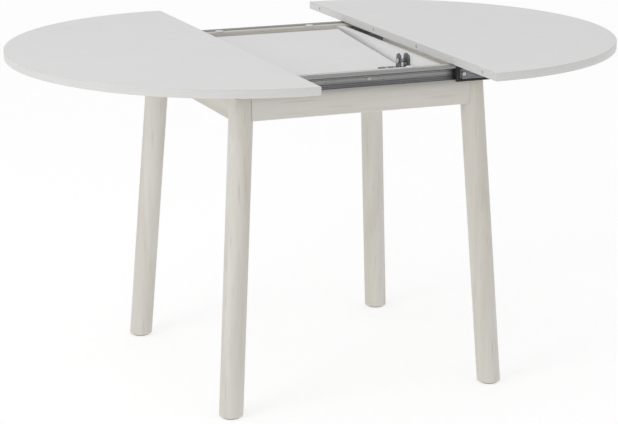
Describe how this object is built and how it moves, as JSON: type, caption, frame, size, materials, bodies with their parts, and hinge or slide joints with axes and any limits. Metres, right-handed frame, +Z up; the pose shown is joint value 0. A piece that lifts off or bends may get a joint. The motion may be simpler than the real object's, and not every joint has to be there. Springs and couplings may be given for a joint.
{
  "type": "extendable dining table",
  "caption": "Round dining table on splayed legs; its half-round tops slide apart on steel runners over a stored folding leaf.",
  "frame": {"origin": "on the floor, under the middle of the opened table's outline", "axes": "+X along the runners, to the right half; +Y away from the front; +Z up"},
  "size_m": [1.3908, 1, 0.745],
  "materials": {
    "white_laminate": "matt white melamine laminate on board",
    "carrier_laminate": "white laminated chipboard",
    "whitewashed_wood": "whitewashed hardwood, satin, faint grain",
    "bare_wood": "planed softwood, unfinished",
    "galvanised_rail": "rolled galvanised steel",
    "galvanised_bracket": "pressed galvanised steel",
    "zinc_bracket": "zinc-plated steel",
    "plated_fixing": "bright zinc-plated steel",
    "brass_hinge": "satin brass",
    "black_nylon": "moulded black nylon",
    "white_plastic": "moulded white plastic",
    "felt": "grey felt"
  },
  "bodies": {
    "frame": {"leg_front_left": "whitewashed_wood", "leg_front_right": "whitewashed_wood", "leg_back_left": "whitewashed_wood", "leg_back_right": "whitewashed_wood", "foot_glides": "felt", "apron_front": "whitewashed_wood", "apron_back": "whitewashed_wood", "apron_left": "whitewashed_wood", "apron_right": "whitewashed_wood", "corner_plates": "galvanised_bracket", "leg_bolts": "plated_fixing", "leg_nuts": "plated_fixing", "corner_screws": "plated_fixing", "fixed_rail_front": "galvanised_rail", "fixed_rail_back": "galvanised_rail", "rail_screws": "plated_fixing", "rail_guides": "black_nylon", "support_pads": "white_plastic", "carrier_board_left": "carrier_laminate", "carrier_board_right": "carrier_laminate", "carrier_cleats": "bare_wood", "cleat_screws": "plated_fixing", "pivot_bracket_left": "zinc_bracket", "pivot_bracket_right": "zinc_bracket", "pivot_pins": "plated_fixing", "pivot_bracket_screws": "plated_fixing"},
    "left_half": {"top_left": "white_laminate", "left_dowels": "plated_fixing", "left_slides": "galvanised_bracket", "left_end_blocks": "black_nylon", "left_angles": "galvanised_bracket", "left_angle_screws": "plated_fixing"},
    "right_half": {"top_right": "white_laminate", "right_slides": "galvanised_bracket", "right_end_blocks": "black_nylon", "right_angles": "galvanised_bracket", "right_angle_screws": "plated_fixing"},
    "upper_leaf": {"leaf_upper": "white_laminate", "upper_dowels": "plated_fixing", "leaf_strap_left": "zinc_bracket", "leaf_strap_right": "zinc_bracket", "strap_screws": "plated_fixing", "upper_hinge_plates": "brass_hinge", "hinge_screws_upper": "brass_hinge"},
    "links": {"hinge_links": "brass_hinge"},
    "lower_leaf": {"leaf_lower": "white_laminate", "lower_dowels": "plated_fixing", "lower_hinge_plates": "brass_hinge", "hinge_screws_lower": "brass_hinge"}
  },
  "joints": [
    {"name": "left_top_slide", "type": "slide", "parent": "frame", "child": "left_half", "axis": [-1, 0, 0], "range_m": [-0.185, 0.021]},
    {"name": "right_top_slide", "type": "slide", "parent": "frame", "child": "right_half", "axis": [1, 0, 0], "range_m": [-0.206, 0]},
    {"name": "leaf_flip", "type": "hinge", "parent": "frame", "child": "upper_leaf", "pos_m": [0, -0.125, 0.7085], "axis": [1, 0, 0], "range_deg": [0, 175.7]},
    {"name": "link_fold", "type": "hinge", "parent": "upper_leaf", "child": "links", "pos_m": [0, -0.24222, 0.66709], "axis": [-1, 0, 0], "range_deg": [0, 90]},
    {"name": "leaf_unfold", "type": "hinge", "parent": "links", "child": "lower_leaf", "pos_m": [0, -0.24148, 0.65712], "axis": [-1, 0, 0], "range_deg": [0, 90]}
  ]
}
